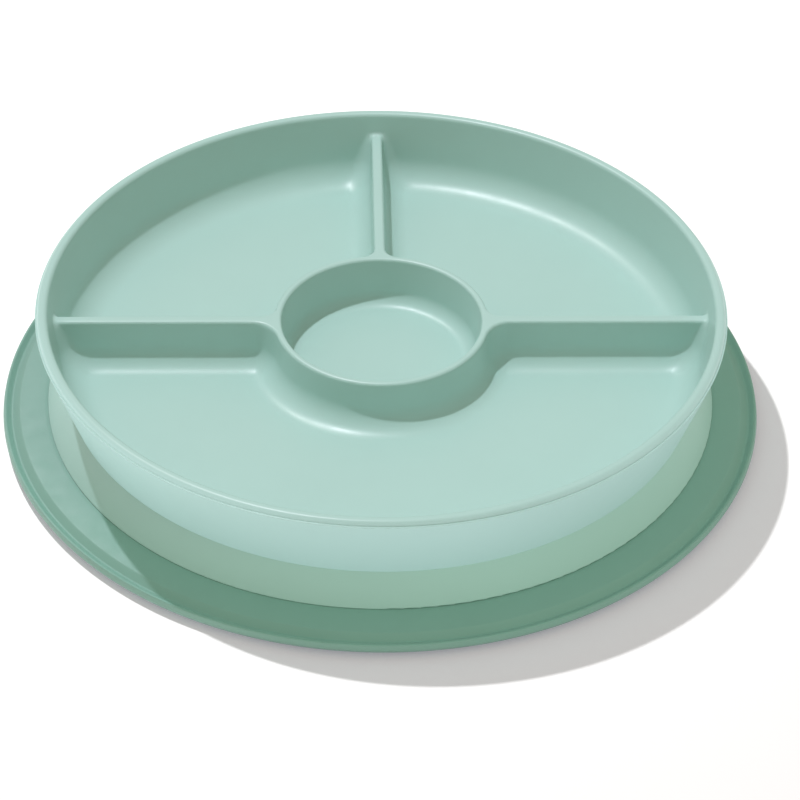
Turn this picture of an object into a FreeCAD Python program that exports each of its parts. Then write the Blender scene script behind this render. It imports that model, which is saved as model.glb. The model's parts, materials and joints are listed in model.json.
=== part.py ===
"""Divided suction plate: a rigid plate with three dividers and a centre cup, snapped on a base whose
soft skirt grips the table. Millimetres, +Z up. The origin is on the plate's axis, on the table plane under
the skirt's lip. The release tab is at the back, towards +Y."""
import FreeCAD, Part
import math
import os

Vector = FreeCAD.Vector
AXIS = Vector(0, 0, 1)

# Heights above the table
RIM_Z = 41.0          # crest of the rim
CREST_Z = 33.8        # crests of the dividers and of the cup
FLOOR_Z = 18.0        # top of the plate's floor, in the compartments and in the cup
WAIST_Z = 15.7        # where the plate sits on the base
SEAT_GAP = 0.1        # between the plate and the base
PLINTH_FOOT_Z = 6.1   # lower edge of the flared band
WEB_TOP_Z = 9.6       # the plinth's floor
WEB_BOTTOM_Z = 7.2

# Radii
RIM_R = 107.0         # outermost edge of the rim
WAIST_R = 98.5        # the narrowest place, where plate and base meet
PLINTH_FOOT_R = 104.6
SKIRT_R = 118.6       # outermost edge of the skirt's bead
CUP_R = 31.1          # inside of the cup, at its crest
FLOOR_R = 98.2        # where the sloping wall would meet the floor if the corner were sharp

# Plate details
RIM_WIDTH = 3.7
RIM_LEDGE = 0.6       # the fine ledge on which the rounded crest stands
LEDGE_DEPTH = 1.6     # from the crest down to the ledge
CUP_WALL = 2.2
DIVIDER_WIDTH = 3.0
DRAFT = math.tan(math.radians(3.0))
CUP_DRAFT = math.tan(math.radians(5.0))
WALL_FILLET = 10.0    # between the outer wall and the floor
CUP_FILLET = 5.2      # inside the cup
ROOT_FILLET = 7.2     # where dividers and cup rise from the floor
DIVIDER_ANGLES = (0.0, 90.0, 180.0)
RIM_ROUND = 1.4
LEDGE_ROUND = 0.2
CUP_CREST_ROUND = 1.0
DIVIDER_CREST_ROUND = 1.2

# Foot ring under the plate, which drops inside the plinth
FOOT_R = 94.0
FOOT_WALL = 2.2
FOOT_DEPTH = 4.1
FOOT_CLEARANCE = 0.35
FOOT_ROUND = 0.8

# Plinth
PLINTH_WALL = 2.6
PLINTH_LIP = 2.2      # height of the inward lip that guides the foot ring
PLINTH_STEP_R = 98.4  # inside this, the plinth's underside steps up to the web
PLINTH_STEP = 1.0     # how far the step slopes sideways
RIB_COUNT = 12
RIB_HEIGHT = 1.4
RIB_WIDTH = 2.0
RIB_INNER_R = 20.0    # also the low ring that ties the ribs together in the middle
RIB_OUTER_R = 70.0
WEB_ROUND = 1.5       # between the web and the inside of the band

# Retainer ring and its pegs
RETAINER_INNER_R = 74.0
RETAINER_STEP_R = 82.0
RETAINER_OUTER_R = 91.0
RETAINER_Z = 3.0
CLAMP_THICKNESS = 1.5
PEG_COUNT = 8
PEG_CIRCLE_R = 78.0
PEG_R = 2.0
BOSS_R = 4.0
PEG_TOP_Z = 9.8
BOSS_TOP_Z = 11.0
PEG_END_ROOM = 0.2    # above each peg, at the blind end of its socket

# Skirt
SOFT_GAP = 0.3        # between the skirt and the rigid base
FLANGE_THICKNESS = 2.3
LIP_WIDTH = 2.4       # flat sealing face on the table
LIP_SETBACK = 4.0     # the sealing face stops short of the skirt's outermost edge
EDGE_Z = 1.6          # underside of the skirt's outer edge
BEAD_Z = 4.5          # top of the bead round the edge
BEAD_WIDTH = 1.4
CHANNEL_Z = 3.3       # bottom of the shallow channel inside the bead
CHANNEL_WIDTH = 2.6
SHOULDER_Z = 5.1      # the flange's top where the channel begins
BEAD_WIDEST_Z = 2.8   # the bead bulges out furthest here
BEAD_TAPER = 0.35     # the bead narrows by this on each side towards its top
UNDERCUT = 0.6        # how far the bead's underside tucks in
FLANGE_MARGIN = 1.0   # the flange starts to slope this far outside the plinth and the retainer
FLANGE_BEND = 5.0
BEAD_ROUND = 0.4
CHANNEL_ROUND = 0.9
SHOULDER_ROUND = 1.5
SOFT_EDGE = 0.4

# Release tab
TAB_WIDTH = 26.0
TAB_LENGTH = 13.0
TAB_THICKNESS = 2.2
TAB_UNDER_Z = 1.2     # finger room between the tab and the table
TAB_CORNER = 7.0
TAB_GRIP_COUNT = 3
TAB_GRIP_R = 0.6
TAB_GRIP_PITCH = 2.6
TAB_GRIP_INSET = 3.2  # from the tab's free end to its outermost grip ridge
TAB_ROUND = 0.8

# Shared
FINE_ROUND = 0.3      # small roundings of moulded edges
EDGE_ROUND = 0.5
BURIED = 1.0          # how far shapes that are joined into one reach into each other


def rounded_face(corners, to_point):
    """A flat face from (u, v, radius) corners: each corner with a radius becomes a tangent arc."""
    points = [Vector(u, v, 0) for u, v, _ in corners]
    edges = []
    starts = []
    ends = []
    middles = []
    for i, (_, _, radius) in enumerate(corners):
        corner = points[i]
        back = (points[i - 1] - corner).normalize()
        ahead = (points[(i + 1) % len(points)] - corner).normalize()
        half_angle = math.acos(max(-1.0, min(1.0, back.dot(ahead)))) / 2
        reach = radius / math.tan(half_angle)
        bisector = (back + ahead).normalize() if radius else back
        starts.append(corner + back * reach)
        ends.append(corner + ahead * reach)
        middles.append(corner + bisector * (radius / math.sin(half_angle) - radius))
    for i, (_, _, radius) in enumerate(corners):
        if radius:
            arc = [to_point(p.x, p.y) for p in (starts[i], middles[i], ends[i])]
            edges.append(Part.Arc(*arc).toShape())
        following = starts[(i + 1) % len(corners)]
        if (following - ends[i]).Length > 1e-6:
            ends_of_line = [to_point(p.x, p.y) for p in (ends[i], following)]
            edges.append(Part.LineSegment(*ends_of_line).toShape())
    return Part.Face(Part.Wire(edges))


def radial_plane(u, v):
    return Vector(u, 0, v)


def across_plane(u, v):
    return Vector(0, u, v)


def revolved(corners):
    """A solid of revolution about the plate's axis, from its (radius, height, fillet) corners."""
    return rounded_face(corners, radial_plane).revolve(Vector(0, 0, 0), AXIS, 360)


def ring(inner_r, outer_r, bottom, top):
    return revolved([(inner_r, bottom, 0), (outer_r, bottom, 0), (outer_r, top, 0), (inner_r, top, 0)])


def around(shape, angle):
    turned = shape.copy()
    turned.rotate(Vector(0, 0, 0), AXIS, angle)
    return turned


def evenly(count, first=0.0):
    return [first + 360.0 * i / count for i in range(count)]


def outer_wall_r(z):
    """The plate's outer wall is a straight cone from the waist to the ledge under the rim's crest."""
    return WAIST_R + (RIM_R - WAIST_R) * (z - WAIST_Z) / (RIM_Z - LEDGE_DEPTH - WAIST_Z)


def plate_body():
    """Floor, outer wall, rim, centre cup and foot ring: all of the plate that is round about its axis."""
    ledge_z = RIM_Z - LEDGE_DEPTH
    cup_height = CREST_Z - FLOOR_Z
    foot_bottom = WAIST_Z - FOOT_DEPTH
    return revolved([
        (0, WAIST_Z, 0),
        (FOOT_R - FOOT_WALL, WAIST_Z, FOOT_ROUND),
        (FOOT_R - FOOT_WALL, foot_bottom, FOOT_ROUND),
        (FOOT_R, foot_bottom, FOOT_ROUND),
        (FOOT_R, WAIST_Z, 0),
        (WAIST_R, WAIST_Z, FINE_ROUND),
        (RIM_R, ledge_z, LEDGE_ROUND),
        (RIM_R - RIM_LEDGE, ledge_z, LEDGE_ROUND),
        (RIM_R - RIM_LEDGE, RIM_Z, RIM_ROUND),
        (RIM_R - RIM_WIDTH, RIM_Z, RIM_ROUND),
        (FLOOR_R, FLOOR_Z, WALL_FILLET),
        (CUP_R + CUP_WALL + DRAFT * cup_height, FLOOR_Z, ROOT_FILLET),
        (CUP_R + CUP_WALL, CREST_Z, CUP_CREST_ROUND),
        (CUP_R, CREST_Z, CUP_CREST_ROUND),
        (CUP_R - CUP_DRAFT * cup_height, FLOOR_Z, CUP_FILLET),
        (0, FLOOR_Z, 0),
    ])


def divider():
    """One divider along +X: a drafted rib with a rounded crest, from the cup's wall into the outer wall."""
    half_top = DIVIDER_WIDTH / 2
    half_root = half_top + DRAFT * (CREST_Z - FLOOR_Z)
    skirt_out = half_root + 2 * ROOT_FILLET
    buried_z = FLOOR_Z - BURIED
    section = rounded_face([
        (-skirt_out, buried_z, 0),
        (skirt_out, buried_z, 0),
        (skirt_out, FLOOR_Z, 0),
        (half_root, FLOOR_Z, ROOT_FILLET),
        (half_top, CREST_Z, DIVIDER_CREST_ROUND),
        (-half_top, CREST_Z, DIVIDER_CREST_ROUND),
        (-half_root, FLOOR_Z, ROOT_FILLET),
        (-skirt_out, FLOOR_Z, 0),
    ], across_plane)
    prism = section.extrude(Vector(RIM_R, 0, 0))
    reach = revolved([
        (CUP_R + BURIED, buried_z, 0),
        (outer_wall_r(buried_z) - 2 * BURIED, buried_z, 0),
        (outer_wall_r(CREST_Z) - BURIED, CREST_Z + BURIED, 0),
        (CUP_R + BURIED, CREST_Z + BURIED, 0),
    ])
    return prism.common(reach)


def divided_plate():
    rib = divider()
    return plate_body().fuse([around(rib, angle) for angle in DIVIDER_ANGLES]).removeSplitter()


def base_plinth():
    """The flared band with its floor web, an inward lip round the plate's foot ring, ribs and peg bosses."""
    top_z = WAIST_Z - SEAT_GAP
    lip_r = FOOT_R + FOOT_CLEARANCE
    flare = (PLINTH_FOOT_R - WAIST_R) / (WAIST_Z - PLINTH_FOOT_Z)
    inner_top_r = WAIST_R - PLINTH_WALL
    lip_bottom_z = top_z - PLINTH_LIP
    web_corner_r = inner_top_r + flare * (lip_bottom_z - WEB_TOP_Z)
    body = revolved([
        (0, WEB_BOTTOM_Z, 0),
        (PLINTH_STEP_R - PLINTH_STEP, WEB_BOTTOM_Z, EDGE_ROUND),
        (PLINTH_STEP_R, PLINTH_FOOT_Z, FINE_ROUND),
        (PLINTH_FOOT_R, PLINTH_FOOT_Z, FINE_ROUND),
        (WAIST_R, top_z, FINE_ROUND),
        (lip_r, top_z, EDGE_ROUND),
        (lip_r, lip_bottom_z, FINE_ROUND),
        (inner_top_r, lip_bottom_z, FINE_ROUND),
        (web_corner_r, WEB_TOP_Z, WEB_ROUND),
        (0, WEB_TOP_Z, 0),
    ])
    rib_length = RIB_OUTER_R - RIB_INNER_R
    half_rib = RIB_WIDTH / 2
    rib_start = Vector(RIB_INNER_R, -half_rib, WEB_TOP_Z - BURIED)
    rib = Part.makeBox(rib_length, RIB_WIDTH, RIB_HEIGHT + BURIED, rib_start)
    ribs = [around(rib, angle) for angle in evenly(RIB_COUNT)]
    hub = ring(RIB_INNER_R - half_rib, RIB_INNER_R + half_rib, WEB_TOP_Z - BURIED, WEB_TOP_Z + RIB_HEIGHT)
    boss_foot = Vector(PEG_CIRCLE_R, 0, WEB_BOTTOM_Z)
    boss = Part.makeCylinder(BOSS_R, BOSS_TOP_Z - WEB_BOTTOM_Z, boss_foot)
    socket = Part.makeCylinder(PEG_R, PEG_TOP_Z + PEG_END_ROOM - WEB_BOTTOM_Z, boss_foot)
    peg_angles = evenly(PEG_COUNT, 180.0 / PEG_COUNT)
    bosses = [around(boss, angle) for angle in peg_angles]
    sockets = [around(socket, angle) for angle in peg_angles]
    return body.fuse(ribs + [hub] + bosses).removeSplitter().cut(sockets)


def skirt_retainer():
    """A stepped ring that clamps the skirt's inner edge, with pegs that press into the plinth's bosses."""
    body = revolved([
        (RETAINER_INNER_R, RETAINER_Z, EDGE_ROUND),
        (RETAINER_OUTER_R, RETAINER_Z, EDGE_ROUND),
        (RETAINER_OUTER_R, RETAINER_Z + CLAMP_THICKNESS, EDGE_ROUND),
        (RETAINER_STEP_R, RETAINER_Z + CLAMP_THICKNESS, 0),
        (RETAINER_STEP_R, WEB_BOTTOM_Z, 0),
        (RETAINER_INNER_R, WEB_BOTTOM_Z, 0),
    ])
    peg_bottom = WEB_BOTTOM_Z - BURIED
    peg = Part.makeCylinder(PEG_R, PEG_TOP_Z - peg_bottom, Vector(PEG_CIRCLE_R, 0, peg_bottom))
    pegs = [around(peg, angle) for angle in evenly(PEG_COUNT, 180.0 / PEG_COUNT)]
    return body.fuse(pegs).removeSplitter()


def suction_skirt():
    """The soft ring: its inner edge is clamped, and its thin flange ends in a bead and a sealing lip."""
    inner_r = RETAINER_STEP_R + SOFT_GAP
    clamped_top = WEB_BOTTOM_Z - SOFT_GAP
    clamped_bottom = RETAINER_Z + CLAMP_THICKNESS + SOFT_GAP
    foot_top = PLINTH_FOOT_Z - SOFT_GAP
    step_r = PLINTH_STEP_R - PLINTH_STEP - SOFT_GAP
    channel_r = SKIRT_R - BEAD_WIDTH - CHANNEL_WIDTH / 2
    shoulder_r = channel_r - CHANNEL_WIDTH
    lip_r = SKIRT_R - LIP_SETBACK
    return revolved([
        (inner_r, clamped_bottom, SOFT_EDGE),
        (RETAINER_OUTER_R + FLANGE_MARGIN, clamped_bottom, FLANGE_BEND),
        (PLINTH_FOOT_R, foot_top - FLANGE_THICKNESS, FLANGE_BEND),
        (lip_r - 2 * LIP_WIDTH, SHOULDER_Z - FLANGE_THICKNESS, SHOULDER_ROUND),
        (lip_r - LIP_WIDTH, 0, SOFT_EDGE),
        (lip_r, 0, SOFT_EDGE),
        (SKIRT_R - UNDERCUT, EDGE_Z, SOFT_EDGE),
        (SKIRT_R, BEAD_WIDEST_Z, BEAD_ROUND),
        (SKIRT_R - BEAD_TAPER, BEAD_Z, BEAD_ROUND),
        (SKIRT_R - BEAD_WIDTH + BEAD_TAPER, BEAD_Z, BEAD_ROUND),
        (channel_r, CHANNEL_Z, CHANNEL_ROUND),
        (shoulder_r, SHOULDER_Z, SHOULDER_ROUND),
        (PLINTH_FOOT_R + FLANGE_MARGIN, foot_top, FLANGE_BEND),
        (step_r + PLINTH_STEP, foot_top, SOFT_EDGE),
        (step_r, clamped_top, SOFT_EDGE),
        (inner_r, clamped_top, SOFT_EDGE),
    ])


def release_tab():
    """A rounded tongue behind the skirt's bead, with a round root that it turns about and grip ridges."""
    root_r = TAB_THICKNESS / 2
    root_y = SKIRT_R + SOFT_GAP + root_r
    middle_z = TAB_UNDER_Z + root_r
    half = TAB_WIDTH / 2
    outline = rounded_face([
        (-half, root_y, 0),
        (half, root_y, 0),
        (half, root_y + TAB_LENGTH - root_r, TAB_CORNER),
        (-half, root_y + TAB_LENGTH - root_r, TAB_CORNER),
    ], lambda u, v: Vector(u, v, TAB_UNDER_Z))
    blank = outline.extrude(Vector(0, 0, TAB_THICKNESS))
    rounded = []
    for edge in blank.Edges:
        if edge.BoundBox.YMax > root_y + root_r and edge.BoundBox.ZLength < root_r:
            rounded.append(edge)
    tongue = blank.makeFillet(TAB_ROUND, rounded)
    root = Part.makeCylinder(root_r, TAB_WIDTH, Vector(-half, root_y, middle_z), Vector(1, 0, 0))
    grips = []
    for i in range(TAB_GRIP_COUNT):
        grip_y = root_y + TAB_LENGTH - root_r - TAB_GRIP_INSET - i * TAB_GRIP_PITCH
        start = Vector(-half / 2, grip_y, TAB_UNDER_Z + TAB_THICKNESS)
        grips.append(Part.makeCylinder(TAB_GRIP_R, half, start, Vector(1, 0, 0)))
    return tongue.fuse([root] + grips).removeSplitter()


NODES = {
    "divided_plate": divided_plate,
    "base_plinth": base_plinth,
    "skirt_retainer": skirt_retainer,
    "suction_skirt": suction_skirt,
    "release_tab": release_tab,
}

os.makedirs("parts", exist_ok=True)
for name, make in NODES.items():
    shape = make()
    shape.exportStep(f"parts/{name}.step")
    print(name, shape.isValid(), len(shape.Solids), round(shape.Volume / 1000, 2), "cm3", shape.BoundBox)
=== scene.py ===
import json
import math
import bmesh
import bpy
import numpy as np
from mathutils import Matrix, Vector


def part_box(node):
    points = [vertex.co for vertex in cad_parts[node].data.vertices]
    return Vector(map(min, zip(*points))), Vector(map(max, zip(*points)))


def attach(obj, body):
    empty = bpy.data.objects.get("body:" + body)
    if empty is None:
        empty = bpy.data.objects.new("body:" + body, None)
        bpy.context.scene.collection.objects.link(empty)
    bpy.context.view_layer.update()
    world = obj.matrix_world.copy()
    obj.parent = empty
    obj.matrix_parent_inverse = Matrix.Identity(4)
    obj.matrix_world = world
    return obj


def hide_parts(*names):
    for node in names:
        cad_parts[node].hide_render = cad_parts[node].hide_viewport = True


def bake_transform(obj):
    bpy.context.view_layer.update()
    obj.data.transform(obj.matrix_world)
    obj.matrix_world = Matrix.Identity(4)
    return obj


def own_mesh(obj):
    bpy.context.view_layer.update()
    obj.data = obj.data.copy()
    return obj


# Divided suction plate in mint green: the rigid plate, the soft skirt and the release tab are built here
# as meshes, and the base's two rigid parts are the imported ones. Shapes are worked out in millimetres.
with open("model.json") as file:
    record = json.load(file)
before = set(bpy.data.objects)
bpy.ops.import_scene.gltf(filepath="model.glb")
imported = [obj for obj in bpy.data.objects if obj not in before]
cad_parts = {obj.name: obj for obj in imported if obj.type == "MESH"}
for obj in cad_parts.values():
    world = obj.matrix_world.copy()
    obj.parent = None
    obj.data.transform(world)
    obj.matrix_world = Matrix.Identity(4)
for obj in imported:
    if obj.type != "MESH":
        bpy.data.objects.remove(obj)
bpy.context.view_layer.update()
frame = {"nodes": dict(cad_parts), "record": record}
MM = 0.001

# ---------------------------------------------------------------- places that the frame gives
plate_low, plate_high = (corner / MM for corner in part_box("divided_plate"))
skirt_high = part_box("suction_skirt")[1] / MM
plinth_low, plinth_high = (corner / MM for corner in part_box("base_plinth"))
tab_low, tab_high = (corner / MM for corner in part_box("release_tab"))
RIM_Z = plate_high.z
RIM_R = plate_high.x
FOOT_BOTTOM_Z = plate_low.z
SKIRT_R = skirt_high.x
PLINTH_FOOT_R = plinth_high.x
PLINTH_FOOT_Z = plinth_low.z

# ---------------------------------------------------------------- the plate
CREST_Z = 33.8          # crests of the dividers and of the cup
FLOOR_Z = 18.0
WAIST_Z = 15.7          # underside of the floor
SEAT_Z = plinth_high.z  # the outer wall's foot rests on the base here
SEAT_ROUND = 0.05       # the wall's foot is all but sharp, so that it closes on the base
WAIST_R = 98.5
FLOOR_R = 98.2          # where the sloping wall would meet the floor if the corner were sharp
RIM_WIDTH = 3.7
RIM_ROUND = 1.4
RIM_LEDGE = 0.6
LEDGE_DEPTH = 1.6
LEDGE_ROUND = 0.2
CUP_R = 31.1
CUP_WALL = 2.2
CUP_CREST_ROUND = 1.0
CUP_FILLET = 5.2
DIVIDER_HALF = 1.7      # half a divider's thickness at its crest
CREST_ROUND = 0.9       # the edges of a divider's crest
DRAFT = math.tan(math.radians(3.0))
CUP_DRAFT = math.tan(math.radians(5.0))
WALL_FILLET = 10.0
ROOT_FILLET = 7.2       # where dividers and cup rise from the floor
HORN_TOP = 2.2          # a divider's corner against the outer wall, in plan at its crest
HORN_GROWTH = 0.425     # how fast that corner widens downwards
HORN_HEAD = 0.7         # the crest's flat top meets the outer wall with this radius
HORN_FAR = 9.0          # this far from the wall the corner has passed into the root fillet
HORN_NEAR = 3.0         # and this close to it the corner is whole
CORNER_FRONT = 7.0      # in plan, between the side dividers and the cup in the front compartment
CORNER_BACK = 4.0       # the same in the two back compartments
SHARPEST = 0.4          # smallest corner in plan once the root fillet has used up its radius
FOOT_R = 94.0
FOOT_WALL = 2.2
FOOT_ROUND = 0.8
FINE_ROUND = 0.3
DIVIDER_ANGLES = (0.0, 0.5 * math.pi, math.pi)
LOFT_TOP_Z = 39.2       # the compartments' walls end here, and the rim's crest goes on above
CLOSE_LEVELS_Z = 36.0   # above this the wall's levels lie closer together
FLOOR_STRIP = 1.2       # the flat floor's own face begins this far past the end of a fillet
FINE_ARC = 8.0          # degrees between points on small fillets
SAME_PLACE = 0.001      # heights and radii closer than this count as the same
ANGLE_DIGITS = 9        # angles, in radians, that agree to this many decimals count as one

wall_slope = (RIM_R - RIM_WIDTH - FLOOR_R) / (RIM_Z - FLOOR_Z)
wall_tilt = math.atan(wall_slope)
wall_fillet_r = FLOOR_R + wall_slope * WALL_FILLET - WALL_FILLET / math.cos(wall_tilt)
cup_crest_r = CUP_R + 0.5 * CUP_WALL


def round_union(a, b, radius):
    """Distance outside two solids that are joined with a concave fillet."""
    inside_a = np.maximum(radius - a, 0.0)
    inside_b = np.maximum(radius - b, 0.0)
    return np.maximum(radius, np.minimum(a, b)) - np.hypot(inside_a, inside_b)


def round_overlap(a, b, radius):
    """Distance outside the overlap of two solids, with its edge rounded."""
    outside_a = np.maximum(radius + a, 0.0)
    outside_b = np.maximum(radius + b, 0.0)
    return np.minimum(-radius, np.maximum(a, b)) + np.hypot(outside_a, outside_b)


def eased(share):
    """Turns a share from 0 to 1 into one that starts and ends gently."""
    return share * share * (3 - 2 * share)


def air_gap(points):
    """How far points in the compartments are above the plate's surface, which is where this is zero."""
    x, y, z = points[..., 0], points[..., 1], points[..., 2]
    r = np.hypot(x, y)
    wall = (FLOOR_R + wall_slope * (z - FLOOR_Z) - r) * math.cos(wall_tilt)
    from_r = r - wall_fillet_r
    from_z = z - FLOOR_Z - WALL_FILLET
    in_fillet = (from_r >= 0) & (from_z <= -wall_slope * from_r)
    shell = np.where(in_fillet, WALL_FILLET - np.hypot(from_r, from_z), np.minimum(z - FLOOR_Z, wall))
    thicker = DRAFT * (CREST_Z - z)
    ribs = r - (CUP_R + CUP_WALL + thicker)
    corner = np.where(y < 0, CORNER_FRONT, CORNER_BACK)
    far_away = 1000.0       # a divider reaches one way from the centre only
    for angle in DIVIDER_ANGLES:
        along = x * math.cos(angle) + y * math.sin(angle)
        beside = np.abs(y * math.cos(angle) - x * math.sin(angle))
        divider = np.where(along > 0, beside - (DIVIDER_HALF + thicker), far_away)
        ribs = round_union(ribs, divider, corner)
    ribs = round_overlap(ribs, z - CREST_Z, CREST_ROUND)
    near_wall = eased(np.clip((HORN_FAR - wall) / (HORN_FAR - HORN_NEAR), 0.0, 1.0))
    horn = np.maximum(HORN_TOP + HORN_GROWTH * (CREST_Z - z), HORN_TOP)
    under_crest = np.clip((CREST_Z + HORN_HEAD - z) / (CREST_ROUND + HORN_HEAD), 0.0, 1.0)
    horn = HORN_HEAD + (horn - HORN_HEAD) * under_crest
    return round_union(shell, ribs, ROOT_FILLET + (horn - ROOT_FILLET) * near_wall)


SETTLE_ROUNDS = 12
PROBE = 0.001           # half the distance over which a slope is measured
LEAST_SLOPE = 0.25      # squared; it keeps a point near a ridge from being thrown off
LONGEST_MOVE = 0.8


def settle(points):
    """Moves points the shortest way onto the plate's surface."""
    for _ in range(SETTLE_ROUNDS):
        slope = np.empty_like(points)
        for axis in range(3):
            shift = np.zeros(3)
            shift[axis] = PROBE
            slope[..., axis] = (air_gap(points + shift) - air_gap(points - shift)) / (2 * PROBE)
        squared = np.maximum((slope ** 2).sum(-1), LEAST_SLOPE)
        move = np.clip(air_gap(points) / squared, -LONGEST_MOVE, LONGEST_MOVE)
        points = points - move[..., None] * slope
    return points


def arc_points(centre, radius, start, end, count):
    """Points on an arc, as (u, v), from one angle to another, both ends included."""
    turn = np.linspace(start, end, count + 1)
    return [(centre[0] + radius * math.cos(t), centre[1] + radius * math.sin(t)) for t in turn]


def rounded_path(corners, arc_step=12.0):
    """A path through corners (r, z, radius), each radius a tangent arc; the first follows on the last."""
    path = []
    for i, (u, v, radius) in enumerate(corners):
        if not radius:
            path.append((u, v))
            continue
        corner = Vector((u, v))
        back = (Vector(corners[i - 1][:2]) - corner).normalized()
        ahead = (Vector(corners[(i + 1) % len(corners)][:2]) - corner).normalized()
        half = 0.5 * back.angle(ahead)
        centre = corner + (back + ahead).normalized() * (radius / math.sin(half))
        start = corner + back * (radius / math.tan(half)) - centre
        end = corner + ahead * (radius / math.tan(half)) - centre
        first = math.atan2(start.y, start.x)
        turn = (math.atan2(end.y, end.x) - first + math.pi) % (2 * math.pi) - math.pi
        count = max(2, math.ceil(abs(math.degrees(turn)) / arc_step))
        path += arc_points(centre, radius, first, first + turn, count)
    return path


def spread(first, last, count):
    """Even steps from first to last, without first itself."""
    return list(np.linspace(first, last, count + 1)[1:])


def even_steps(path, count):
    """Points at even distances along a (u, v) path, its first point left out."""
    path = np.array(path)
    passed = np.concatenate(([0.0], np.cumsum(np.hypot(*np.diff(path, axis=0).T))))
    stops = spread(0.0, passed[-1], count)
    return list(zip(np.interp(stops, passed, path[:, 0]), np.interp(stops, passed, path[:, 1])))


# At each level of the loft, from its top down to the floor: a rib's side and the inside of the outer wall
CREST_LEVELS = 6
WALL_LEVELS = 7
FILLET_LEVELS = 12
CREST_FIRST_TURN = 10.0     # degrees round the crest's rounded edge
CREST_LAST_TURN = 87.0
rib_path = []
for turn in np.radians(np.linspace(CREST_FIRST_TURN, CREST_LAST_TURN, CREST_LEVELS)):
    beside = -CREST_ROUND + CREST_ROUND * math.sin(turn)
    rib_path.append((beside, CREST_Z - CREST_ROUND * (1 - math.cos(turn))))
root_top_z = FLOOR_Z + ROOT_FILLET
rib_path += [(DRAFT * (CREST_Z - z), z) for z in spread(rib_path[-1][1], root_top_z, WALL_LEVELS)]
root_centre = (DRAFT * (CREST_Z - root_top_z) + ROOT_FILLET, root_top_z)
rib_path += arc_points(root_centre, ROOT_FILLET, math.pi, 1.5 * math.pi, FILLET_LEVELS)[1:]
rib_path += [(root_centre[0] + FLOOR_STRIP, FLOOR_Z)]


def wall_r(z):
    return FLOOR_R + wall_slope * (z - FLOOR_Z)


wall_centre = (wall_fillet_r, FLOOR_Z + WALL_FILLET)
wall_fillet_z = wall_centre[1] - WALL_FILLET * math.sin(wall_tilt)
wall_heights = spread(LOFT_TOP_Z, CLOSE_LEVELS_Z, CREST_LEVELS)
wall_heights += spread(wall_heights[-1], wall_fillet_z, WALL_LEVELS)
wall_path = [(wall_r(z), z) for z in wall_heights]
wall_path += arc_points(wall_centre, WALL_FILLET, -wall_tilt, -0.5 * math.pi, FILLET_LEVELS)[1:]
wall_path += [(wall_fillet_r - FLOOR_STRIP, FLOOR_Z)]

horn_radii = [HORN_TOP + HORN_GROWTH * (CREST_Z - z) for _, z in rib_path[:CREST_LEVELS + WALL_LEVELS]]
horn_radii += spread(horn_radii[-1], SHARPEST, FILLET_LEVELS + 1)
CUP_CORNER_STEPS = 12
LINE_STEPS = 20
HORN_STEPS = 22
ROUND_THE_BACK = (64, 22)   # steps round the wall and round the cup, in each back compartment
ROUND_THE_FRONT = (136, 46)
HEAD_ROWS = 5           # steps across a crest's flat top, from its middle
HORN_CLIMB = 14         # of the horn's steps, how many go up the wall at the top level


def half_way(level, cup_corner):
    """One level's points beside a divider, as (along, beside, z), from the cup's side to the wall's."""
    offset, rib_z = rib_path[level]
    wall_radius, wall_z = wall_path[level]
    side = DIVIDER_HALF + offset
    small = max(cup_corner - offset, SHARPEST)
    cup_radius = CUP_R + CUP_WALL + offset + small
    cup_beside = side + small
    cup_along = math.sqrt(cup_radius ** 2 - cup_beside ** 2)
    first = math.atan2(-cup_beside, -cup_along)
    cup_corner_arc = arc_points((cup_along, cup_beside), small, first, -0.5 * math.pi, CUP_CORNER_STEPS)
    points = [(u, v, rib_z) for u, v in cup_corner_arc]
    large = horn_radii[level]
    horn_radius = wall_radius - large
    horn_beside = side + large
    horn_along = math.sqrt(horn_radius ** 2 - horn_beside ** 2)
    points += [(u, side, rib_z) for u in spread(cup_along, horn_along, LINE_STEPS)]
    last = math.atan2(horn_beside, horn_along)
    horn = arc_points((horn_along, horn_beside), large, -0.5 * math.pi, last, HORN_STEPS)[1:]
    for i, (u, v) in enumerate(horn):
        share = eased((i + 1) / HORN_STEPS)
        points.append((u, v, rib_z + (wall_z - rib_z) * share))
    return points


def top_way(cup_corner):
    """The top level beside a divider: round the cup's crest, along the divider's, up the wall, round it."""
    below = half_way(0, cup_corner)
    half = CUP_CORNER_STEPS // 2
    turn = math.atan2(below[0][1], below[0][0])
    points = []
    for t in np.linspace(turn, 0.0, half + 1):
        points.append((cup_crest_r * math.cos(t), cup_crest_r * math.sin(t), CREST_Z))
    first_u = below[CUP_CORNER_STEPS][0]
    points += [(u, 0.0, CREST_Z) for u in spread(cup_crest_r, first_u, half)]
    horn_z = CREST_Z + HORN_HEAD
    horn_u = wall_r(horn_z) - HORN_HEAD / math.cos(wall_tilt)
    points += [(u, 0.0, CREST_Z) for u in spread(first_u, horn_u, LINE_STEPS)]
    climb = arc_points((horn_u, horn_z), HORN_HEAD, -0.5 * math.pi, -wall_tilt, FILLET_LEVELS)
    climb.append((wall_r(LOFT_TOP_Z), LOFT_TOP_Z))
    points += [(u, 0.0, z) for u, z in even_steps(climb, HORN_CLIMB)]
    end = math.atan2(below[-1][1], below[-1][0])
    top_r = wall_r(LOFT_TOP_Z)
    for t in spread(0.0, end, HORN_STEPS - HORN_CLIMB):
        points.append((top_r * math.cos(t), top_r * math.sin(t), LOFT_TOP_Z))
    return points


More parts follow.
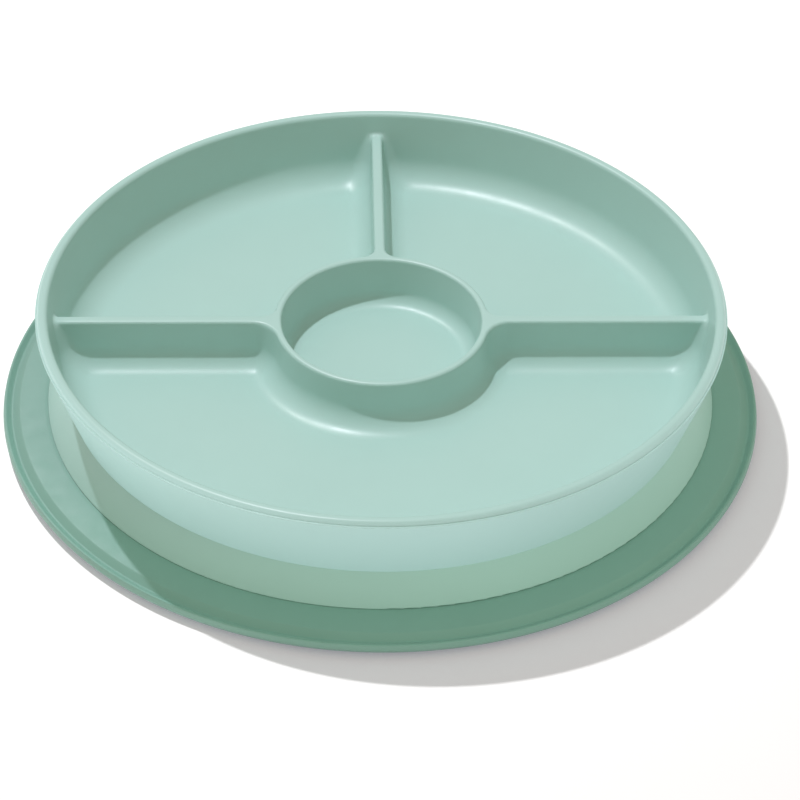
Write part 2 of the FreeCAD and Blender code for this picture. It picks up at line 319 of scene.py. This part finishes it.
def compartment(first, last, cup_corner, wall_steps, cup_steps):
    """A compartment's walls between two dividers' angles, as an array [level, place round it, xyz]."""
    rows = []
    for level in range(-1, len(rib_path)):
        way = top_way(cup_corner) if level < 0 else half_way(level, cup_corner)
        going_out = []
        coming_back = []
        for u, v, z in way:
            going_out.append((math.hypot(u, v), first + math.atan2(v, u), z))
            coming_back.append((math.hypot(u, v), last - math.atan2(v, u), z))
        coming_back.reverse()
        wall = going_out[-1]
        cup = going_out[0]
        round_wall = [(wall[0], t, wall[2]) for t in spread(wall[1], coming_back[0][1], wall_steps)[:-1]]
        round_cup = [(cup[0], t, cup[2]) for t in spread(coming_back[-1][1], cup[1], cup_steps)[:-1]]
        ring = going_out + round_wall + coming_back + round_cup
        rows.append([(r * math.cos(t), r * math.sin(t), z) for r, t, z in ring])
    rows = np.array(rows)
    rows[1:] = settle(rows[1:])
    heights = rows[0, :, 2]
    climbing = (heights > CREST_Z + SAME_PLACE) & (heights < LOFT_TOP_Z - SAME_PLACE)
    rows[0, climbing] = settle(rows[0, climbing])
    between = [rows[0] + (rows[1] - rows[0]) * share for share in spread(0.0, 1.0, HEAD_ROWS)[:-1]]
    return np.concatenate((rows[:1], settle(np.array(between)), rows[1:]))


def grid_faces(bm, rows):
    """Joins rows of points into quads, and the last point of each row to its first."""
    made = [[bm.verts.new(Vector(p) * MM) for p in row] for row in rows]
    columns = len(rows[0])
    for upper, lower in zip(made, made[1:]):
        for i in range(columns):
            j = (i + 1) % columns
            bm.faces.new((upper[i], upper[j], lower[j], lower[i]))
    return made


def revolved_rows(path, angles):
    """The rows of a turned surface, one for each (r, z) of the path."""
    return [[(r * math.cos(t), r * math.sin(t), z) for t in angles] for r, z in path]


SEAM = 0.000002         # metres; points closer than this are joined


def finish_mesh(bm, name):
    """Joins the seams, turns the faces outwards and puts the mesh into the scene."""
    bmesh.ops.remove_doubles(bm, verts=bm.verts, dist=SEAM)
    bmesh.ops.recalc_face_normals(bm, faces=bm.faces)
    mesh = bpy.data.meshes.new(name)
    bm.to_mesh(mesh)
    bm.free()
    for polygon in mesh.polygons:
        polygon.use_smooth = True
    obj = bpy.data.objects.new(name, mesh)
    bpy.context.scene.collection.objects.link(obj)
    return obj


def ring_angles(rows, radius):
    """The angles of the points of a compartment's top row that lie at one radius."""
    found = set()
    for x, y, _ in rows[0]:
        if abs(math.hypot(x, y) - radius) < SAME_PLACE:
            found.add(round(math.atan2(y, x) % (2 * math.pi), ANGLE_DIGITS))
    return found


def build_plate():
    bm = bmesh.new()
    right, back, left = DIVIDER_ANGLES
    parts = [
        compartment(right, back, CORNER_BACK, *ROUND_THE_BACK),
        compartment(back, left, CORNER_BACK, *ROUND_THE_BACK),
        compartment(left, right + 2 * math.pi, CORNER_FRONT, *ROUND_THE_FRONT),
    ]
    wall_angles = set()
    cup_angles = set()
    for rows in parts:
        made = grid_faces(bm, rows)
        bm.faces.new(made[-1])
        wall_angles |= ring_angles(rows, wall_r(LOFT_TOP_Z))
        cup_angles |= ring_angles(rows, cup_crest_r)
    ledge_z = RIM_Z - LEDGE_DEPTH
    outside = rounded_path([
        (wall_r(LOFT_TOP_Z), LOFT_TOP_Z, 0),
        (RIM_R - RIM_WIDTH, RIM_Z, RIM_ROUND),
        (RIM_R - RIM_LEDGE, RIM_Z, RIM_ROUND),
        (RIM_R - RIM_LEDGE, ledge_z, LEDGE_ROUND),
        (RIM_R, ledge_z, LEDGE_ROUND),
        (WAIST_R, SEAT_Z, SEAT_ROUND),
        (FOOT_R, SEAT_Z, FINE_ROUND),
        (FOOT_R, FOOT_BOTTOM_Z, FOOT_ROUND),
        (FOOT_R - FOOT_WALL, FOOT_BOTTOM_Z, FOOT_ROUND),
        (FOOT_R - FOOT_WALL, WAIST_Z, FOOT_ROUND),
        (0, WAIST_Z, 0),
    ])
    grid_faces(bm, revolved_rows(outside, sorted(wall_angles)))
    cup_height = CREST_Z - FLOOR_Z
    cup_inside = rounded_path([
        (cup_crest_r, CREST_Z, 0),
        (CUP_R, CREST_Z, CUP_CREST_ROUND),
        (CUP_R - CUP_DRAFT * cup_height, FLOOR_Z, CUP_FILLET),
        (0, FLOOR_Z, 0),
    ], FINE_ARC)
    grid_faces(bm, revolved_rows(cup_inside, sorted(cup_angles)))
    return finish_mesh(bm, "plate_moulding")


# ---------------------------------------------------------------- the skirt
STEP_TOP_Z = skirt_high.z
CLAMP_INNER_R = 82.3    # the skirt is clamped between the plinth and the retainer from here
CLAMP_OUTER_R = 92.0    # to here
CLAMP_BOTTOM_Z = 4.8
STEP_R = 97.1           # the clamped part stands up to a step behind the plinth's foot
STEP_WIDTH = 1.0
FLANGE_THICKNESS = 2.3
FLANGE_MARGIN = 1.0     # the flange is level this far beyond the plinth's foot
FLANGE_BEND = 5.0
LIP_WIDTH = 2.4         # flat sealing face on the table
LIP_SETBACK = 4.0       # the sealing face stops short of the outermost edge
EDGE_Z = 1.6            # underside of the outer edge
UNDERCUT = 0.6
BEAD_Z = 4.5            # top of the bead round the edge
BEAD_WIDEST_Z = 2.8
BEAD_WIDTH = 1.4
BEAD_TAPER = 0.35
BEAD_ROUND = 0.4
CHANNEL_Z = 3.3         # bottom of the shallow channel inside the bead
CHANNEL_WIDTH = 2.6
CHANNEL_ROUND = 0.9
SHOULDER_Z = 5.1        # the flange's top where the channel begins
SHOULDER_ROUND = 1.5
SOFT_EDGE = 0.4
SKIRT_COLUMNS = 360


def build_skirt():
    foot_top = PLINTH_FOOT_Z
    channel_r = SKIRT_R - BEAD_WIDTH - 0.5 * CHANNEL_WIDTH
    lip_r = SKIRT_R - LIP_SETBACK
    path = rounded_path([
        (CLAMP_INNER_R, CLAMP_BOTTOM_Z, SOFT_EDGE),
        (CLAMP_OUTER_R, CLAMP_BOTTOM_Z, FLANGE_BEND),
        (PLINTH_FOOT_R, foot_top - FLANGE_THICKNESS, FLANGE_BEND),
        (lip_r - 2 * LIP_WIDTH, SHOULDER_Z - FLANGE_THICKNESS, SHOULDER_ROUND),
        (lip_r - LIP_WIDTH, 0, SOFT_EDGE),
        (lip_r, 0, SOFT_EDGE),
        (SKIRT_R - UNDERCUT, EDGE_Z, SOFT_EDGE),
        (SKIRT_R, BEAD_WIDEST_Z, BEAD_ROUND),
        (SKIRT_R - BEAD_TAPER, BEAD_Z, BEAD_ROUND),
        (SKIRT_R - BEAD_WIDTH + BEAD_TAPER, BEAD_Z, BEAD_ROUND),
        (channel_r, CHANNEL_Z, CHANNEL_ROUND),
        (channel_r - CHANNEL_WIDTH, SHOULDER_Z, SHOULDER_ROUND),
        (PLINTH_FOOT_R + FLANGE_MARGIN, foot_top, FLANGE_BEND),
        (STEP_R + STEP_WIDTH, foot_top, SOFT_EDGE),
        (STEP_R, STEP_TOP_Z, SOFT_EDGE),
        (CLAMP_INNER_R, STEP_TOP_Z, SOFT_EDGE),
    ], FINE_ARC)
    angles = np.linspace(0.0, 2 * math.pi, SKIRT_COLUMNS, endpoint=False)
    bm = bmesh.new()
    grid_faces(bm, revolved_rows(path + path[:1], angles))
    return finish_mesh(bm, "skirt_silicone")


# ---------------------------------------------------------------- the release tab
TAB_ROOT_Y = SKIRT_R - 0.6      # the tab grows out of the skirt's bead
TAB_CORNER = 7.0                # its end's rounded corners, in plan
TAB_GRIP_COUNT = 3
TAB_GRIP_R = 0.6
TAB_GRIP_PITCH = 2.6
TAB_GRIP_INSET = 3.2
TAB_SIDE_SQUARENESS = 1.25      # how soon a cross-section reaches its full width
TAB_TOP_SQUARENESS = 1.6        # and its full height
TAB_GRIP_FROM = 0.6             # the ridges rise from this share of the height
TAB_GRIP_FADE = 0.3
TAB_STEPS = 30
TAB_END_STEPS = 40
TAB_COLUMNS = 96


def build_tab():
    """A tongue lofted along its length from rounded cross-sections, with grip ridges on its top."""
    half_width = 0.5 * (tab_high.x - tab_low.x)
    under = tab_low.z
    over = tab_high.z - TAB_GRIP_R
    end_y = tab_high.y
    edge = 0.5 * (over - under)
    middle_z = 0.5 * (over + under)
    corner_y = end_y - TAB_CORNER
    lengths = list(np.linspace(TAB_ROOT_Y, corner_y, TAB_STEPS))
    for t in np.linspace(0, 0.5 * math.pi, TAB_END_STEPS)[1:]:
        lengths.append(corner_y + TAB_CORNER * math.sin(t))
    rows = []
    for y in lengths:
        beyond = max(0.0, (y - corner_y) / TAB_CORNER)
        width = half_width - TAB_CORNER * (1 - math.sqrt(max(0.0, 1 - beyond ** 2)))
        from_end = min(1.0, (end_y - y) / edge)
        height = edge * math.sqrt(max(0.0, 1 - (1 - from_end) ** 2))
        ridge = 0.0
        for i in range(TAB_GRIP_COUNT):
            away = abs(y - (end_y - TAB_GRIP_INSET - i * TAB_GRIP_PITCH))
            ridge = max(ridge, TAB_GRIP_R * math.sqrt(max(0.0, 1 - (away / TAB_GRIP_R) ** 2)))
        row = []
        for t in np.linspace(0, 2 * math.pi, TAB_COLUMNS, endpoint=False):
            flat = max(0.0, width - edge)
            across = math.copysign(min(1.0, abs(math.cos(t)) * TAB_SIDE_SQUARENESS), math.cos(t))
            x = flat * across + edge * math.cos(t)
            rise = math.copysign(min(1.0, abs(math.sin(t)) * TAB_TOP_SQUARENESS), math.sin(t))
            z = middle_z + height * math.copysign(math.sqrt(abs(rise)), rise)
            if rise > TAB_GRIP_FROM:
                ends = 1 - min(1.0, max(0.0, (abs(x) - 0.5 * half_width) / TAB_GRIP_R)) ** 2
                z += ridge * math.sqrt(max(0.0, ends)) * min(1.0, (rise - TAB_GRIP_FROM) / TAB_GRIP_FADE)
            row.append((x, y, z))
        rows.append(row)
    bm = bmesh.new()
    made = grid_faces(bm, rows)
    bm.faces.new(made[0])
    return finish_mesh(bm, "release_tab_silicone")


# ---------------------------------------------------------------- materials
DRIFT_SCALE = 28.0      # waves a metre
GLOSS_SCALE = 160.0
NOISE_LOW = 0.3         # nearly all of a noise lies between these
NOISE_HIGH = 0.7
BUMP_STRENGTH = 0.5
PLASTIC_IOR = 1.47


def new_material(name):
    """A material with nothing but a shader and its output."""
    material = bpy.data.materials.new(name)
    material.use_nodes = True
    tree = material.node_tree
    tree.nodes.clear()
    output = tree.nodes.new("ShaderNodeOutputMaterial")
    shader = tree.nodes.new("ShaderNodeBsdfPrincipled")
    tree.links.new(shader.outputs["BSDF"], output.inputs["Surface"])
    return material, tree, shader


def noise(tree, scale, detail, seed=0.0):
    """Noise over the piece's own coordinates; the scale is in waves a metre."""
    place = tree.nodes.new("ShaderNodeTexCoord")
    mapping = tree.nodes.new("ShaderNodeMapping")
    mapping.inputs["Location"].default_value = (seed, seed, seed)
    node = tree.nodes.new("ShaderNodeTexNoise")
    node.inputs["Scale"].default_value = scale
    node.inputs["Detail"].default_value = detail
    tree.links.new(place.outputs["Object"], mapping.inputs["Vector"])
    tree.links.new(mapping.outputs["Vector"], node.inputs["Vector"])
    return node


def ramp_to(tree, source, low, high):
    """Spreads a noise over the values from low to high."""
    node = tree.nodes.new("ShaderNodeMapRange")
    node.inputs["From Min"].default_value = NOISE_LOW
    node.inputs["From Max"].default_value = NOISE_HIGH
    node.inputs["To Min"].default_value = low
    node.inputs["To Max"].default_value = high
    tree.links.new(source, node.inputs["Value"])
    return node.outputs["Result"]


def moulded(name, colour, variation, roughness, grain_scale, grain_depth, sheen=0.0):
    """A moulded surface: slow colour drift, uneven gloss and a very fine grain."""
    material, tree, shader = new_material(name)
    drift = noise(tree, DRIFT_SCALE, detail=3.0)
    mix = tree.nodes.new("ShaderNodeMix")
    mix.data_type = "RGBA"
    mix.inputs["A"].default_value = [channel * (1 - variation) for channel in colour] + [1]
    mix.inputs["B"].default_value = [channel * (1 + variation) for channel in colour] + [1]
    tree.links.new(ramp_to(tree, drift.outputs["Fac"], 0.0, 1.0), mix.inputs["Factor"])
    tree.links.new(mix.outputs["Result"], shader.inputs["Base Color"])
    gloss = noise(tree, GLOSS_SCALE, detail=4.0, seed=3.0)
    tree.links.new(ramp_to(tree, gloss.outputs["Fac"], *roughness), shader.inputs["Roughness"])
    grain = noise(tree, grain_scale, detail=2.0, seed=7.0)
    bump = tree.nodes.new("ShaderNodeBump")
    bump.inputs["Strength"].default_value = BUMP_STRENGTH
    bump.inputs["Distance"].default_value = grain_depth
    tree.links.new(grain.outputs["Fac"], bump.inputs["Height"])
    tree.links.new(bump.outputs["Normal"], shader.inputs["Normal"])
    shader.inputs["IOR"].default_value = PLASTIC_IOR
    shader.inputs["Sheen Weight"].default_value = sheen
    return material


def dress(obj, material):
    obj.data.materials.clear()
    obj.data.materials.append(material)


PLASTIC_GRAIN = (2600.0, 0.00002)       # waves a metre, and depth in metres
SILICONE_GRAIN = (1800.0, 0.00003)
PLASTIC_DRIFT = 0.012
SILICONE_DRIFT = 0.015
SILICONE_SHEEN = 0.05
slot_colour = {m["slot"]: m["base_color"] for m in frame["record"]["materials"]}


def plastic(name, slot, roughness):
    return moulded(name, slot_colour[slot], PLASTIC_DRIFT, roughness, *PLASTIC_GRAIN)


def silicone(name, slot, roughness):
    return moulded(name, slot_colour[slot], SILICONE_DRIFT, roughness, *SILICONE_GRAIN, SILICONE_SHEEN)


plate_material = plastic("mint_plate", "plate_plastic", (0.33, 0.40))
base_material = plastic("mint_base", "base_plastic", (0.40, 0.50))
retainer_material = plastic("mint_retainer", "retainer_plastic", (0.42, 0.52))
skirt_material = silicone("mint_silicone", "skirt_silicone", (0.46, 0.58))

# ---------------------------------------------------------------- pieces on their bodies
plate = build_plate()
dress(plate, plate_material)
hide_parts("divided_plate")
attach(plate, "plate")

skirt = build_skirt()
dress(skirt, skirt_material)
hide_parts("suction_skirt")
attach(skirt, "skirt")
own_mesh(skirt)

tab = build_tab()
dress(tab, skirt_material)
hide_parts("release_tab")
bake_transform(tab)

for node, material in (("base_plinth", base_material), ("skirt_retainer", retainer_material)):
    dress(frame["nodes"][node], material)


# ---------------------------------------------------------------- camera, light and floor
CAMERA_ELEVATION = math.radians(36.69)
CAMERA_TURN = math.radians(-1.29)       # the object stands turned by this against the camera
CAMERA_DISTANCE = 10 * RIM_R * MM       # from the middle of the rim
CAMERA_PITCH = math.radians(-1.656) - CAMERA_ELEVATION      # it looks just below the middle of the rim
CAMERA_YAW = math.radians(0.412)
CAMERA_ROLL = math.radians(0.91)
CAMERA_LENS = 155.6
SENSOR_WIDTH = 36.0


LAMP_RADIUS = 0.012     # metres, as are the lamps' places
FAR_LAMP_PLACE = (-0.33, 0.42, 0.90)
WHITE = (1.0, 1.0, 1.0)
FLOOR_REACH = 12.0      # metres from its middle to each side
FLOOR_COLOUR = (0.9, 0.9, 0.9, 1)
FLOOR_ROUGHNESS = 0.9
FLOOR_GLOW = 0.17       # keeps the shadow on the floor pale
FLOOR_GLOW_COLOUR = (0.98, 0.77, 1.0, 1)
WORLD_STRENGTH = 0.455
WORLD_COLOUR = (0.99, 1.0, 0.87, 1)


def add_camera():
    turn = Matrix.Rotation(CAMERA_TURN, 3, "Z")
    place = Vector((0, -math.cos(CAMERA_ELEVATION), math.sin(CAMERA_ELEVATION))) * CAMERA_DISTANCE
    place += Vector((0, 0, RIM_Z * MM))
    flat = math.cos(CAMERA_PITCH)
    ahead = Vector((math.sin(CAMERA_YAW) * flat, math.cos(CAMERA_YAW) * flat, math.sin(CAMERA_PITCH)))
    right = Vector((math.cos(CAMERA_YAW), -math.sin(CAMERA_YAW), 0))
    above = right.cross(ahead)
    rolled_right = right * math.cos(CAMERA_ROLL) + above * math.sin(CAMERA_ROLL)
    rolled_above = above * math.cos(CAMERA_ROLL) - right * math.sin(CAMERA_ROLL)
    columns = [turn @ v for v in (rolled_right, rolled_above, -ahead)]
    data = bpy.data.cameras.new("camera")
    data.lens = CAMERA_LENS
    data.sensor_width = SENSOR_WIDTH
    data.clip_start = 0.01
    data.clip_end = 100.0
    camera = bpy.data.objects.new("camera", data)
    bpy.context.scene.collection.objects.link(camera)
    camera.matrix_world = Matrix.Translation(turn @ place) @ Matrix(columns).transposed().to_4x4()
    bpy.context.scene.camera = camera


def group(name, objects):
    """A collection that no scene shows, which says what a light reaches or what shades it."""
    collection = bpy.data.collections.new(name)
    for obj in objects:
        collection.objects.link(obj)
    return collection


def link_light(name, data, receivers, blockers=None):
    """Adds a light that shines only on the receivers; only the blockers shade it, where they are given."""
    lamp = bpy.data.objects.new(name, data)
    bpy.context.scene.collection.objects.link(lamp)
    lamp.light_linking.receiver_collection = group(name + "_receivers", receivers)
    if blockers:
        lamp.light_linking.blocker_collection = group(name + "_blockers", blockers)
    return lamp


def add_sun(name, azimuth, elevation, strength, softness, colour, receivers, blockers=None):
    """A distant light; its azimuth is counted from +X towards +Y, in degrees like the other angles."""
    data = bpy.data.lights.new(name, "SUN")
    data.energy = strength
    data.angle = math.radians(softness)
    data.color = colour
    sun = link_light(name, data, receivers, blockers)
    a, e = math.radians(azimuth), math.radians(elevation)
    towards = Vector((math.cos(a) * math.cos(e), math.sin(a) * math.cos(e), math.sin(e)))
    sun.rotation_euler = towards.to_track_quat("Z", "Y").to_euler()
    return sun


def add_lamp(name, place, power, colour, receivers):
    """A small studio lamp near the object."""
    data = bpy.data.lights.new(name, "POINT")
    data.energy = power
    data.shadow_soft_size = LAMP_RADIUS
    data.color = colour
    lamp = link_light(name, data, receivers)
    lamp.location = place
    return lamp


def add_floor():
    bm = bmesh.new()
    bmesh.ops.create_grid(bm, x_segments=1, y_segments=1, size=FLOOR_REACH)
    floor = finish_mesh(bm, "studio_floor")
    material, tree, shader = new_material("studio_white")
    shader.inputs["Base Color"].default_value = FLOOR_COLOUR
    shader.inputs["Roughness"].default_value = FLOOR_ROUGHNESS
    shader.inputs["Specular IOR Level"].default_value = 0.0
    shader.inputs["Emission Color"].default_value = FLOOR_GLOW_COLOUR
    shader.inputs["Emission Strength"].default_value = FLOOR_GLOW
    dress(floor, material)
    return floor


def add_world():
    world = bpy.data.worlds.new("studio")
    world.use_nodes = True
    background = world.node_tree.nodes["Background"]
    background.inputs["Color"].default_value = WORLD_COLOUR
    background.inputs["Strength"].default_value = WORLD_STRENGTH
    bpy.context.scene.world = world


add_camera()
floor = add_floor()
add_world()
nodes = frame["nodes"]
base_pieces = [skirt, tab, nodes["base_plinth"], nodes["skirt_retainer"]]

# The plate, the base and the floor each have a key light from the back left, with its own place
add_sun("key_on_plate", azimuth=144.5, elevation=75.0, strength=1.95, softness=1.5,
        colour=(0.915, 0.907, 1.0), receivers=[plate])
add_lamp("key_on_base", place=(-0.429, 0.503, 0.700), power=18.0, colour=(0.88, 0.89, 1.0),
         receivers=base_pieces)
add_lamp("key_on_floor", place=FAR_LAMP_PLACE, power=34.0, colour=WHITE, receivers=[floor])

# The glint shows as highlights only, and the two cards low in front of the plate show no highlights
glint = add_lamp("glint_on_plate", place=FAR_LAMP_PLACE, power=9.0, colour=WHITE, receivers=[plate])
glint.visible_diffuse = False
for name, azimuth in (("left_card", 210.0), ("right_card", 340.0)):
    card = add_sun(name, azimuth, elevation=-20.0, strength=1.05, softness=20.0,
                   colour=(0.86, 0.84, 1.0), receivers=[plate], blockers=[plate])
    card.visible_glossy = False
add_sun("fill_on_base", azimuth=305.0, elevation=45.0, strength=0.62, softness=30.0,
        colour=(0.72, 1.0, 0.86), receivers=base_pieces)
bpy.context.scene.view_settings.view_transform = "Standard"
